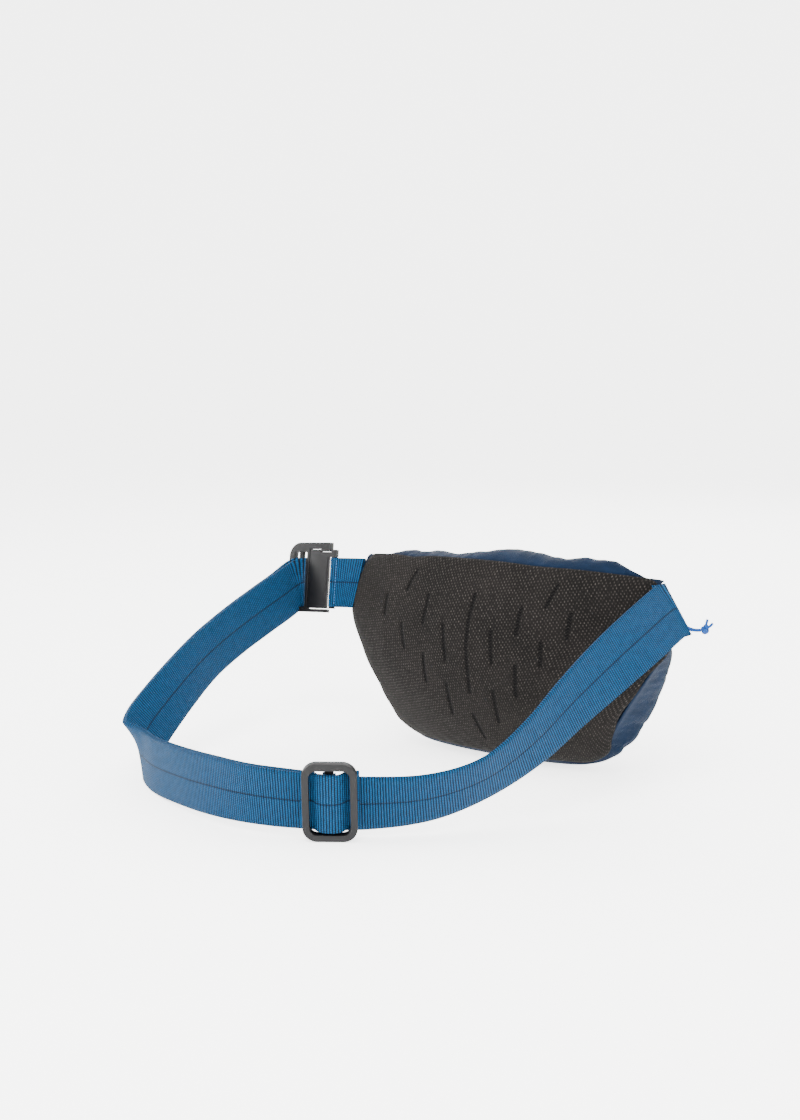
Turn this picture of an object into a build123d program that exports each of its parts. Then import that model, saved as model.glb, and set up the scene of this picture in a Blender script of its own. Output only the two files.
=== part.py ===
from build123d import *
import math
import os

os.makedirs("parts", exist_ok=True)

# Waist pack standing on its bottom, belt laid round on the same surface.
# +Z up, +Y the way the pack faces, the wearer's side is -Y. The origin is the middle of the
# flat patch that the pouch stands on.

# ---------------------------------------------------------------- driving dimensions (mm)
web_width = 38.0            # belt webbing
web_thick = 1.7
layer_gap = 0.4             # air between two layers of webbing

wing_half_top = 125.0       # back panel outline
wing_half_low = 133.0
wing_top_z = 139.0
wing_low_z = 99.0
crown_z = 147.0
panel_low_z = 6.5

bulge_x_radius = 250.0      # back panel swells towards the wearer
bulge_z_radius = 120.0
bulge_front_y = -51.0
bulge_mid_z = 85.0
mesh_thick = 1.6
foam_thick = 3.4
lining_thick = 0.6

fabric = 1.2                # shell fabric with its coating, as a solid
zip_z = 122.0
zip_radius = 230.0          # the zip runs round one flat arc
zip_front_y = 27.0
zip_end_angle = 30.3        # from the middle, each way
flap_end_angle = 25.3
slider_angle = 28.2
tape_height = 5.0
tape_thick = 0.8
coil_size = 1.5
zip_gap = 2.0               # between the two coils, where the slider's neck runs

slider_length = 11.0
slider_plate = 1.5
slider_height = 9.0
slider_pin_radius = 235.0   # pivot of the pull tab, out from the zip's centre
tab_heading = -5.0          # pull tab at rest, degrees from +X
tab_hole_reach = 6.5

cord_diameter = 1.8

zip_centre_y = zip_front_y - zip_radius
bulge_axis_y = bulge_front_y + bulge_x_radius
panel_inner = mesh_thick + foam_thick + lining_thick
seam_clear = 0.3
rim_lap = 5.0               # the shell's rim runs this far in behind the panel's edge
loft_back = -65.0           # behind the back panel, cut away there


def write(piece, name):
    piece.part.label = name
    export_step(piece.part, f"parts/{name}.step")


# ---------------------------------------------------------------- back panel
# All panel layers are shells of one doubly curved swell, cut to the panel outline.
def swell(radius_out, radius_in):
    with BuildPart() as shell:
        with BuildSketch(Plane.YZ) as profile:
            with Locations((bulge_front_y + bulge_z_radius, bulge_mid_z)):
                Circle(radius_out)
                if radius_in > 0:
                    Circle(radius_in, mode=Mode.SUBTRACT)
            with Locations((bulge_axis_y + 100, bulge_mid_z)):
                Rectangle(360, 400, mode=Mode.SUBTRACT)
        upright = Axis((0, bulge_axis_y, 0), (0, 0, 1))
        revolve(profile.sketch.rotate(upright, -40), axis=upright, revolution_arc=80, mode=Mode.REPLACE)
    return shell.part


def outline_prism(inset):
    with BuildPart() as prism:
        with BuildSketch(Plane.XZ.offset(-90)) as face:
            with BuildLine() as edge:
                ThreePointArc(
                    (-wing_half_top + inset, wing_top_z - inset),
                    (0, crown_z - inset),
                    (wing_half_top - inset, wing_top_z - inset),
                )
                Polyline(
                    (wing_half_top - inset, wing_top_z - inset),
                    (wing_half_low - inset, wing_low_z),
                    (98 - inset, 42),
                    (84 - inset, panel_low_z + inset),
                    (-84 + inset, panel_low_z + inset),
                    (-98 + inset, 42),
                    (-wing_half_low + inset, wing_low_z),
                    (-wing_half_top + inset, wing_top_z - inset),
                )
            make_face()
            fillet(face.vertices().group_by(Axis.Y)[0], 24)
        extrude(amount=180)
    return prism.part


def panel_layer(depth_out, depth_in, inset):
    with BuildPart() as layer:
        add(swell(bulge_z_radius - depth_out, bulge_z_radius - depth_in))
        add(outline_prism(inset), mode=Mode.INTERSECT)
    return layer


panel_mesh = panel_layer(0, mesh_thick, 0)
write(panel_mesh, "back_panel_mesh")
panel_foam = panel_layer(mesh_thick, mesh_thick + foam_thick, 4)
write(panel_foam, "back_panel_foam")
panel_lining = panel_layer(mesh_thick + foam_thick, panel_inner, 3)
write(panel_lining, "back_panel_lining")


# ---------------------------------------------------------------- pack shell
# Level sections: height, rear corner, side, shoulder, front. The other side is mirrored.
def on_zip(angle):
    turn = math.radians(angle)
    return (zip_radius * math.sin(turn), zip_centre_y + zip_radius * math.cos(turn))


zip_section = (on_zip(32.4), on_zip(28), on_zip(22), zip_front_y)
pouch_sections = [
    (0, (50, -17), (54, -7), (48, 3), 8),
    (6, (66, -17), (72, -5), (66, 10), 17),
    (20, (86, -17), (95, -1), (89, 17), 26),
    (45, (100, -17), (110, 1), (104, 20), 32),
    (75, (116, -16), (124, 1), (115, 21), 33),
    (96, (129, -11), (127, 1), (108, 18), 31),
    (110, *zip_section),
    (116, *zip_section),
]
roof_sections = [
    (128, *zip_section),
    (131, *zip_section),
    (139, (116, -10), (96, 0), (78, 8), 21),
    (147, (86, -17), (76, -9), (60, -1), 12),
    (152, (48, -23), (44, -17), (36, -10), 1),
]


def level_loft(sections, inset, low_lift, top_drop):
    with BuildPart() as body:
        for row, (z, rear, side, shoulder, front) in enumerate(sections):
            height = z
            if row == 0:
                height = z + low_lift
            if row == len(sections) - 1:
                height = z - top_drop
            corner_x = rear[0] - inset
            corner_y = rear[1] - inset / 2
            side_x = side[0] - inset
            side_y = side[1] - inset / 2
            turn_x = shoulder[0] - inset * 0.7
            turn_y = shoulder[1] - inset * 0.7
            with BuildSketch(Plane.XY.offset(height)):
                with BuildLine():
                    Line((-corner_x, loft_back), (corner_x, loft_back))
                    Line((corner_x, loft_back), (corner_x, corner_y))
                    ThreePointArc((corner_x, corner_y), (side_x, side_y), (turn_x, turn_y))
                    ThreePointArc((turn_x, turn_y), (0, front - inset), (-turn_x, turn_y))
                    ThreePointArc((-turn_x, turn_y), (-side_x, side_y), (-corner_x, corner_y))
                    Line((-corner_x, corner_y), (-corner_x, loft_back))
                make_face()
        loft(ruled=True)
    return body.part


panel_face = bulge_z_radius - panel_inner - seam_clear
front_of_panel = swell(panel_face, 0)


# The shell's rear rim: what shows round the edge of the panel, and the seam allowance behind it.
def rear_rim(sections):
    with BuildPart() as rim:
        add(swell(panel_face, panel_face - fabric))
        add(level_loft(sections, 0, 0, 0), mode=Mode.INTERSECT)
        add(outline_prism(rim_lap), mode=Mode.SUBTRACT)
    return rim.part


with BuildPart() as pouch:
    add(level_loft(pouch_sections, 0, 0, 0))
    add(level_loft(pouch_sections, fabric, fabric, 0), mode=Mode.SUBTRACT)
    add(front_of_panel, mode=Mode.INTERSECT)
    add(rear_rim(pouch_sections))
write(pouch, "pouch_shell")

flap_half = on_zip(flap_end_angle)[0]
gusset_gap = 1.0            # between the flap's end and the gusset sewn in beside it
cutter_middle = (0, -25, 140)
cutter_depth = 200
cutter_height = 60
with BuildPart() as roof:
    add(level_loft(roof_sections, 0, 0, 0))
    add(level_loft(roof_sections, fabric, 0, fabric), mode=Mode.SUBTRACT)
    add(front_of_panel, mode=Mode.INTERSECT)
    add(rear_rim(roof_sections))
with BuildPart() as top_flap:
    add(roof.part)
    with Locations(cutter_middle):
        Box(2 * flap_half, cutter_depth, cutter_height, mode=Mode.INTERSECT)
write(top_flap, "top_flap")
with BuildPart() as wing_gussets:
    add(roof.part)
    with Locations(cutter_middle):
        Box(2 * flap_half + 2 * gusset_gap, cutter_depth, cutter_height, mode=Mode.SUBTRACT)
write(wing_gussets, "wing_gussets")

# ---------------------------------------------------------------- zip
def polar(radius, angle):
    turn = math.radians(angle)
    return (radius * math.sin(turn), zip_centre_y + radius * math.cos(turn))


def arc_band(inner, outer, low, high, start, end):
    middle = (start + end) / 2
    with BuildPart() as band:
        with BuildSketch(Plane.XY.offset(low)):
            with BuildLine():
                ThreePointArc(polar(inner, start), polar(inner, middle), polar(inner, end))
                Line(polar(inner, end), polar(outer, end))
                ThreePointArc(polar(outer, end), polar(outer, middle), polar(outer, start))
                Line(polar(outer, start), polar(inner, start))
            make_face()
        extrude(amount=high - low)
    return band.part


tape_in = zip_radius - tape_thick
coil_in = tape_in - coil_size
lower_edge = zip_z - zip_gap / 2
upper_edge = zip_z + zip_gap / 2
flap_end = flap_end_angle - 0.2
far_end = flap_end_angle + 0.4

with BuildPart() as tape_lower:
    add(arc_band(tape_in, zip_radius, 116, lower_edge, -zip_end_angle, zip_end_angle))
write(tape_lower, "zip_tape_lower")
with BuildPart() as coil_lower:
    add(arc_band(coil_in, tape_in, lower_edge - coil_size, lower_edge, -zip_end_angle, zip_end_angle))
write(coil_lower, "zip_coil_lower")
with BuildPart() as tape_upper:
    add(arc_band(tape_in, zip_radius, upper_edge, 128, -flap_end, flap_end))
write(tape_upper, "zip_tape_upper")
with BuildPart() as coil_upper:
    add(arc_band(coil_in, tape_in, upper_edge, upper_edge + coil_size, -flap_end, flap_end))
write(coil_upper, "zip_coil_upper")
with BuildPart() as tape_ends:
    for near, far in ((far_end, zip_end_angle), (-zip_end_angle, -far_end)):
        add(arc_band(tape_in, zip_radius, upper_edge, 128, near, far))
write(tape_ends, "zip_tape_ends")
with BuildPart() as end_stops:
    for near, far in ((zip_end_angle - 0.4, zip_end_angle), (-zip_end_angle, 0.4 - zip_end_angle)):
        add(arc_band(tape_in - 1, zip_radius + 0.6, lower_edge, upper_edge, near, far))
write(end_stops, "zip_end_stops")

# Slider: two plates joined by a neck that runs in the gap between the coils.
half_turn = math.degrees(slider_length / 2 / zip_radius)
slider_low = zip_z - slider_height / 2
slider_high = zip_z + slider_height / 2
outer_face = zip_radius + 1.0
inner_face = coil_in - 0.5
lug = 1.2
pin_x, pin_y = polar(slider_pin_radius, slider_angle)
side_span = (slider_angle - half_turn, slider_angle + half_turn)
with BuildPart() as slider:
    add(arc_band(outer_face, outer_face + slider_plate, slider_low, slider_high, *side_span))
    add(arc_band(inner_face - slider_plate, inner_face, slider_low, slider_high, *side_span))
    add(arc_band(inner_face, outer_face, zip_z - 0.5, zip_z + 0.5, slider_angle - 0.5, slider_angle + 0.5))
    for low in (slider_low + 0.2, slider_high - 0.2 - lug):
        span = (slider_angle - 0.45, slider_angle + 0.45)
        add(arc_band(outer_face + slider_plate, slider_pin_radius + 1.4, low, low + lug, *span))
    with Locations((pin_x, pin_y, zip_z)):
        Cylinder(0.8, slider_height - 0.4 - 2 * lug)
write(slider, "zip_slider")

eye_height = slider_height - 0.4 - 2 * lug - 0.6
tab_plane = Plane(origin=(pin_x, pin_y, zip_z), x_dir=(1, 0, 0), z_dir=(0, 0, 1)).rotated((0, 0, tab_heading))
tab_face = Plane(
    origin=tab_plane.from_local_coords((0, 0, 0)),
    x_dir=tab_plane.x_dir,
    z_dir=tab_plane.y_dir,
)
with BuildPart() as tab:
    with BuildSketch(tab_plane.offset(-eye_height / 2)):
        Circle(2.0)
        with Locations((4.8, 0)):
            Rectangle(8.4, 1.4)
        Circle(1.1, mode=Mode.SUBTRACT)
    extrude(amount=eye_height)
    with BuildSketch(tab_face.offset(-3)):
        with Locations((tab_hole_reach, 0)):
            Circle(1.2)
    extrude(amount=6, mode=Mode.SUBTRACT)
write(tab, "zip_pull_tab")

# Cord: two strands leave the tab's hole, one each side, and run side by side into the knot.
hole_x = pin_x + tab_hole_reach * math.cos(math.radians(tab_heading))
hole_y = pin_y + tab_hole_reach * math.sin(math.radians(tab_heading))
knot_centre = (149.5, 6.0, 107.6)
cord_front = [
    (hole_x, hole_y, zip_z),
    (hole_x + 0.3, hole_y + 3.4, zip_z - 0.2),
    (123.5, 7.4, 118.2),
    (129.0, 7.1, 112.6),
    (135.0, 6.9, 108.2),
    (141.0, 7, 106.0),
    (147.2, 7, 106.8),
]
cord_back = [
    (hole_x, hole_y, zip_z),
    (hole_x - 0.3, hole_y - 3.4, zip_z + 0.2),
    (122.6, 2.2, 117.4),
    (128.6, 4.2, 111.9),
    (134.9, 4.6, 107.9),
    (141.0, 4.7, 105.9),
    (147.2, 4.9, 106.8),
]


def bend_radii(points):
    radii = []
    for before, at, after in zip(points, points[1:], points[2:]):
        run_in = Vector(*at) - Vector(*before)
        run_out = Vector(*after) - Vector(*at)
        turn = math.radians(run_in.get_angle(run_out))
        radii.append(0.45 * min(run_in.length, run_out.length) / math.tan(turn / 2))
    return radii


def cord_tube(points, name):
    radii = bend_radii(points)
    print(name, "radii", [round(radius, 1) for radius in radii])
    with BuildPart() as tube:
        with BuildLine() as path:
            FilletPolyline(*points, radius=radii)
        route = path.wires()[0]
        with BuildSketch(Plane(origin=route @ 0, z_dir=route % 0)):
            Circle(cord_diameter / 2)
        sweep()
    expected = math.pi * cord_diameter**2 / 4 * route.length
    print(name, "length", round(route.length, 1), "volume ratio", round(tube.part.volume / expected, 3))
    write(tube, name)


cord_tube(cord_front, "zip_pull_cord_front")
cord_tube(cord_back, "zip_pull_cord_back")

with BuildPart() as knot:
    with Locations(knot_centre):
        Sphere(3.1)
    for end in ((151.5, 5.4, 115.0), (155.0, 6.6, 112.2)):
        way = Vector(*end) - Vector(*knot_centre)
        with BuildSketch(Plane(origin=knot_centre, z_dir=way)):
            Circle(cord_diameter / 2)
        extrude(amount=way.length)
    with Locations((146.6, 6.0, 106.8)):
        Box(1.6, 8, 8, mode=Mode.SUBTRACT)
write(knot, "zip_pull_knot")

# ---------------------------------------------------------------- belt
# Stations along the webbing: middle of the width, and the way the width points.
belt_route = [
    ((135.5, -14.5, 122.5), (-0.50, -0.12, 0.85)),
    ((131, -48, 110), (-0.49, -0.28, 0.83)),
    ((123, -79, 94), (-0.36, -0.39, 0.85)),
    ((113, -109, 75), (-0.16, -0.52, 0.84)),
    ((102, -137, 54), (0.03, -0.59, 0.81)),
    ((86, -164, 36), (0.22, -0.57, 0.79)),
    ((64, -191, 26), (0.23, -0.44, 0.87)),
    ((35, -215, 23), (0.19, -0.29, 0.94)),
    ((4, -235.5, 24), (0.13, -0.21, 0.97)),
    ((-31, -247, 25), (0.04, -0.13, 0.99)),
    ((-67, -244, 24), (-0.03, -0.02, 1.0)),
    ((-104, -233.5, 21.8), (-0.07, -0.01, 1.0)),
    ((-138, -220, 19.8), (-0.08, -0.01, 1.0)),
    ((-158, -209, 19.8), (-0.16, 0.02, 0.99)),
    ((-169, -202, 21.5), (-0.30, 0.04, 0.95)),
    ((-176, -194.5, 26), (-0.38, -0.10, 0.92)),
    ((-179.3, -184, 33), (-0.38, -0.33, 0.86)),
    ((-180.5, -174, 39.5), (-0.34, -0.40, 0.85)),
    ((-183, -148, 55), (-0.22, -0.42, 0.88)),
    ((-186.5, -116, 71), (-0.11, -0.41, 0.91)),
    ((-186.5, -85, 84.5), (-0.10, -0.38, 0.92)),
    ((-184, -53, 97.5), (-0.14, -0.32, 0.93)),
    ((-182, -33, 105.5), (-0.14, -0.26, 0.95)),
    ((-182, -16.2, 112.2), (-0.07, 0.20, 0.977)),
]
right_end = 4               # station where one run of the belt hands over to the next
tri_glide_station = 8
bend_start = 13
bend_end = 17
route_end = len(belt_route) - 1

# The webbing goes from the right wing through the tri-glide to the buckle and comes back
# inside itself to the tri-glide, so it is double from there to the buckle.
layer_step = web_thick + layer_gap
outer_shift = [0] * bend_start
outer_shift += [-layer_step * part / 4 for part in range(5)]
outer_shift += [-layer_step] * 4 + [-layer_step - 0.4, -layer_step - 2.0]
return_shift = [shift + layer_step for shift in outer_shift[:-2]] + [0.4, 2.0]


def belt_piece(first, last, shifts, name):
    with BuildPart() as web:
        for row in range(first, last + 1):
            before = Vector(*belt_route[max(row - 1, 0)][0])
            after = Vector(*belt_route[min(row + 1, route_end)][0])
            middle, across = belt_route[row]
            along = (after - before).normalized()
            width_way = Vector(*across).normalized()
            if row == route_end:    # lies along the buckle's bar, which the run meets at a slant
                along = (along - width_way * along.dot(width_way)).normalized()
            else:
                width_way = (width_way - along * width_way.dot(along)).normalized()
            place = Vector(*middle) + along.cross(width_way) * shifts[row]
            with BuildSketch(Plane(origin=place, x_dir=width_way, z_dir=along)):
                Rectangle(web_width, web_thick)
        loft(ruled=True)
    write(web, name)
    print(name, round(web.part.volume / web_width / web_thick, 1), "mm long")


belt_piece(0, right_end, outer_shift, "belt_right_run")
belt_piece(right_end, tri_glide_station, outer_shift, "belt_floor_run_right")
belt_piece(tri_glide_station, bend_start, outer_shift, "belt_floor_run_left")
belt_piece(tri_glide_station, bend_start, return_shift, "belt_return_floor_run")
belt_piece(bend_start, bend_end, outer_shift, "belt_far_bend")
belt_piece(bend_start, bend_end, return_shift, "belt_return_far_bend")
belt_piece(bend_end, route_end, outer_shift, "belt_upper_run")
belt_piece(bend_end, route_end, return_shift, "belt_return_upper_run")

# Where the webbing is sewn into the right wing and folds back past the wing tip.
with BuildPart() as anchor:
    with BuildSketch(Plane.XZ.offset(7.9)):
        with BuildLine():
            Polyline((127.2, 138.6), (129, 138.2), (147, 106.5), (134.6, 99.6), (127.2, 138.6))
        make_face()
    extrude(amount=web_thick)
write(anchor, "belt_right_anchor")

# ---------------------------------------------------------------- tri-glide
glide_origin = (19.9, -235.1, 26.0)
glide_lean = 12.0
glide_width = 33.0
glide_height = 51.5
glide_depth = 5.0
glide_bar = 4.2
glide_centre_bar = 5.0
lean = math.radians(glide_lean)
glide_along = Vector(0.834, 0.552, 0).normalized()
glide_out = Vector(glide_along.Y, -glide_along.X, 0)
glide_up = glide_out * math.sin(lean) + Vector(0, 0, math.cos(lean))
glide_face = Plane(origin=glide_origin, x_dir=glide_along, z_dir=glide_along.cross(glide_up))
glide_side = Plane(origin=glide_origin, x_dir=glide_along, z_dir=glide_up)

with BuildPart() as tri_glide:
    with BuildSketch(glide_face.offset(-glide_depth / 2)):
        RectangleRounded(glide_width, glide_height, 9)
        RectangleRounded(glide_width - 2 * glide_bar, glide_height - 2 * glide_bar - 0.4, 5, mode=Mode.SUBTRACT)
    extrude(amount=glide_depth)
    with BuildSketch(glide_face.offset(-1.6)):
        Rectangle(glide_centre_bar, glide_height - 2 * glide_bar + 2)
    extrude(amount=1.6)
write(tri_glide, "tri_glide")

# Sewn end of the webbing round the centre bar.
loop_wall = 1.2
loop_half = glide_centre_bar / 2 + 0.2
with BuildPart() as end_loop:
    with BuildSketch(glide_side.offset(-web_width / 2)):
        with Locations((0, 0.8)):
            RectangleRounded(2 * (loop_half + loop_wall), 2.0 + 2 * loop_wall, 1.9)
            RectangleRounded(2 * loop_half, 2.0, 0.6, mode=Mode.SUBTRACT)
    extrude(amount=web_width)
write(end_loop, "belt_end_loop")

# The webbing that crosses over the centre bar, in behind both side bars.
with BuildPart() as bridge:
    with BuildSketch(glide_side.offset(-web_width / 2)):
        with BuildLine():
            FilletPolyline((-18, 3.4), (-10.6, 3.4), (-6, -2.6), (6, -2.6), (10.6, 3.4), (18, 3.4), radius=2.6)
            offset(amount=0.7, side=Side.BOTH)
        make_face()
    extrude(amount=web_width)
write(bridge, "belt_bridge")

# ---------------------------------------------------------------- buckle
# Face plane: x runs along the strap towards the pack, y up, z out to the wearer.
buckle_origin = (-163, -11, 118)
buckle_face = Plane(origin=buckle_origin, x_dir=(0.9975, 0, 0.07), z_dir=(-0.014, -0.98, 0.2))
buckle_depth = 4.4
web_bar_at = (-19.0, -1.0)
web_bar = 4.6
strap_middle = -3.2

rail_left = -29.5
receiver_corner = 11.0
arm_top = 27.5
arm_low = -26.5
with BuildPart() as receiver:
    with BuildSketch(buckle_face.offset(-buckle_depth / 2)):
        with BuildLine():
            Polyline(
                (rail_left, arm_low), (rail_left, arm_top), (10.5, arm_top), (10.5, 20.8), (1.5, 20.8),
                (1.5, 22.6), (-9.5, 22.6), (-9.5, -24.0), (10.0, -24.0), (10.0, arm_low), (rail_left, arm_low),
            )
        make_face()
        with Locations((-18, -1.2)):
            RectangleRounded(12, 43, 1.5, mode=Mode.SUBTRACT)
    extrude(amount=buckle_depth)
    uprights = receiver.edges().filter_by(Axis(buckle_origin, buckle_face.z_dir))
    outer_left = uprights.sort_by(Axis(buckle_origin, buckle_face.x_dir))[:2]
    fillet(outer_left, receiver_corner)
write(receiver, "buckle_receiver")

# Round bar across the window, which the webbing turns round.
bar_plane = Plane(origin=buckle_origin, x_dir=buckle_face.x_dir, z_dir=buckle_face.y_dir)
bar_x, bar_out = web_bar_at
with BuildPart() as bar:
    with BuildSketch(bar_plane.offset(-22.7)):
        with Locations((bar_x, -bar_out)):
            Circle(web_bar / 2)
    extrude(amount=43)
write(bar, "buckle_web_bar")

with BuildPart() as belt_loop:
    with BuildSketch(bar_plane.offset(strap_middle - web_width / 2)):
        with Locations((bar_x, -bar_out)):
            Circle(web_bar / 2 + 0.2 + web_thick)
            Circle(web_bar / 2 + 0.2, mode=Mode.SUBTRACT)
    extrude(amount=web_width)
write(belt_loop, "belt_buckle_loop")

# Insert plate: its ears sit under the receiver's arms, its far edge holds the short strap.
plate_depth = 4.0
with BuildPart() as insert:
    with BuildSketch(buckle_face.offset(-plate_depth / 2)):
        with BuildLine():
            Polyline(
                (-9.0, -23.4), (16.0, -23.4), (16.0, 22.0), (11.3, 22.0), (11.3, 20.2), (0.8, 20.2),
                (0.8, 22.0), (-9.0, 22.0), (-9.0, -23.4),
            )
        make_face()
        with Locations((10.2, strap_middle)):
            Rectangle(3.6, web_width + 1.2, mode=Mode.SUBTRACT)
        with Locations((16.5, strap_middle)):
            Rectangle(2.4, web_width + 1.2, mode=Mode.SUBTRACT)
    extrude(amount=plate_depth)
write(insert, "buckle_insert")

# Short strap: one piece of webbing, doubled through the plate's slot and sewn into the left wing.
strap_seam_low = 28.2
strap_seam_high = 36.2
strap_low = strap_middle - web_width / 2
strap_high = strap_middle + web_width / 2
with BuildPart() as short_strap:
    with BuildSketch(buckle_face.offset(-3.9)):
        with BuildLine():
            Polyline(
                (9.0, strap_low), (strap_seam_low, strap_low), (strap_seam_high, strap_high),
                (9.0, strap_high), (9.0, strap_low),
            )
        make_face()
    extrude(amount=7.8)
    with BuildSketch(bar_plane.offset(-30)):
        with Locations((13.6, 0)):
            Rectangle(4.4, 4.4)
        with BuildLine():
            Polyline((13.0, 2.2), (13.0, -2.2), (30.5, -0.3), (30.5, 0.3), (13.0, 2.2))
        make_face()
    extrude(amount=60, mode=Mode.SUBTRACT)
    with BuildSketch(bar_plane.offset(-30)):
        with BuildLine():
            Polyline((12.0, 3.95), (40, 0.95), (40, 5), (12, 5), (12.0, 3.95))
        make_face()
        with BuildLine():
            Polyline((12.0, -3.95), (40, -0.95), (40, -5), (12, -5), (12.0, -3.95))
        make_face()
    extrude(amount=60, mode=Mode.SUBTRACT)
write(short_strap, "short_strap")
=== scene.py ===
import math

import bmesh
import bpy
from mathutils import Matrix, Vector, noise

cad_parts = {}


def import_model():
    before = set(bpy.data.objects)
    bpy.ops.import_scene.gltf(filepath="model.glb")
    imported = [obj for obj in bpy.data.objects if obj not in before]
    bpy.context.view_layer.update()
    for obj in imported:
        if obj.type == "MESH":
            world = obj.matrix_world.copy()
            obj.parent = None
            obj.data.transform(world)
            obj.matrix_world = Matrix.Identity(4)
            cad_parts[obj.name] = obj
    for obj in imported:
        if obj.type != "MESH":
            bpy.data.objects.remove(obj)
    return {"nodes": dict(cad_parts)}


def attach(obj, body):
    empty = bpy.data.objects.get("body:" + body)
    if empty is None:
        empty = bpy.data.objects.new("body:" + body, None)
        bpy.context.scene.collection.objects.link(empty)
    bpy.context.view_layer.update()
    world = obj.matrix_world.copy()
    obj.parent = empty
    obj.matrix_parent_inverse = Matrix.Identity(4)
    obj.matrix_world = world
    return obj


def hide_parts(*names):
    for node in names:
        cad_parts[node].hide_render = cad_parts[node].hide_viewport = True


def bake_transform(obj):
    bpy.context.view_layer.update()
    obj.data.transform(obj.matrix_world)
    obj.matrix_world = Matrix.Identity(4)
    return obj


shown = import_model()["nodes"]
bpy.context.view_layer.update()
scene = bpy.context.scene
mm = 0.001


def clamp(value, low=0.0, high=1.0):
    return max(low, min(high, value))


def smoothStep(low, high, value):
    t = clamp((value - low) / (high - low))
    return t * t * (3 - 2 * t)


def alongTable(table, at):
    # smooth reading between the rows of a short table: (where, value)
    for (a, low), (b, high) in zip(table, table[1:]):
        if at <= b:
            straight = clamp((at - a) / (b - a))
            return low + (high - low) * smoothStep(a, b, at) * 0.35 + (high - low) * straight * 0.65
    return table[-1][1]


# The camera stands to the wearer's right, a little above the pack.
cameraSet = {"place": (0.5491, -0.9157, 0.2855), "tilt": 82.4, "turn": 35.1, "lens": 48.21}
cameraData = bpy.data.cameras.new("packCamera")
cameraData.lens = cameraSet["lens"]
cameraData.sensor_width = 36
packCamera = bpy.data.objects.new("packCamera", cameraData)
packCamera.location = cameraSet["place"]
packCamera.rotation_euler = (math.radians(cameraSet["tilt"]), 0, math.radians(cameraSet["turn"]))
scene.collection.objects.link(packCamera)
scene.camera = packCamera

studioLights = [  # name, place, aimed at, side length, power
    ("keyLight", (0.5, -1.3, 1.6), (0, -0.08, 0.05), 0.9, 46),
    ("fillLight", (-1.5, -0.9, 0.9), (0, -0.08, 0.05), 1.5, 14),
    ("backLight", (-0.3, 1.5, 1.3), (0, -0.08, 0.05), 1.4, 26),
    ("topLight", (0, -0.1, 1.8), (0, -0.1, 0), 1.6, 34),
]
for name, place, aim, side, power in studioLights:
    lightData = bpy.data.lights.new(name, "AREA")
    lightData.shape = "SQUARE"
    lightData.size = side
    lightData.energy = power
    light = bpy.data.objects.new(name, lightData)
    light.location = place
    light.rotation_euler = (Vector(aim) - Vector(place)).to_track_quat("-Z", "Y").to_euler()
    scene.collection.objects.link(light)
studioWorld = bpy.data.worlds.new("studioWorld")
studioWorld.use_nodes = True
studioWorld.node_tree.nodes["Background"].inputs["Color"].default_value = (1, 1, 1, 1)
studioWorld.node_tree.nodes["Background"].inputs["Strength"].default_value = 0.9
scene.world = studioWorld
print("camera and lights are in place")


# Colours are given as sRGB hex and turned to linear light here.
def linearColour(hexColour):
    parts = [int(hexColour[i:i + 2], 16) / 255 for i in (0, 2, 4)]
    return tuple(p / 12.92 if p <= 0.04045 else ((p + 0.055) / 1.055) ** 2.4 for p in parts) + (1.0,)


# Settings go to the socket of that name or number, to the ramp if they are stops, or else to the
# node itself. A link may name a node, which gives its first output.
def addNode(tree, kind, settings=None, links=None):
    made = tree.nodes.new(kind)
    for key, value in (settings or {}).items():
        if key == "stops":
            elements = made.color_ramp.elements
            elements[0].position, elements[0].color = value[0][0], linearColour(value[0][1])
            elements[1].position, elements[1].color = value[-1][0], linearColour(value[-1][1])
            for place, hexColour in value[1:-1]:
                elements.new(place).color = linearColour(hexColour)
        elif isinstance(key, int) or key in made.inputs:
            made.inputs[key].default_value = value
        else:
            setattr(made, key, value)
    for key, source in (links or {}).items():
        tree.links.new(source.outputs[0] if hasattr(source, "outputs") else source, made.inputs[key])
    return made


def newMaterial(name, roughness, specular=0.4):
    material = bpy.data.materials.new(name)
    material.use_nodes = True
    tree = material.node_tree
    shader = tree.nodes["Principled BSDF"]
    shader.inputs["Roughness"].default_value = roughness
    shader.inputs["Specular IOR Level"].default_value = specular
    return material, tree, shader
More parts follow.
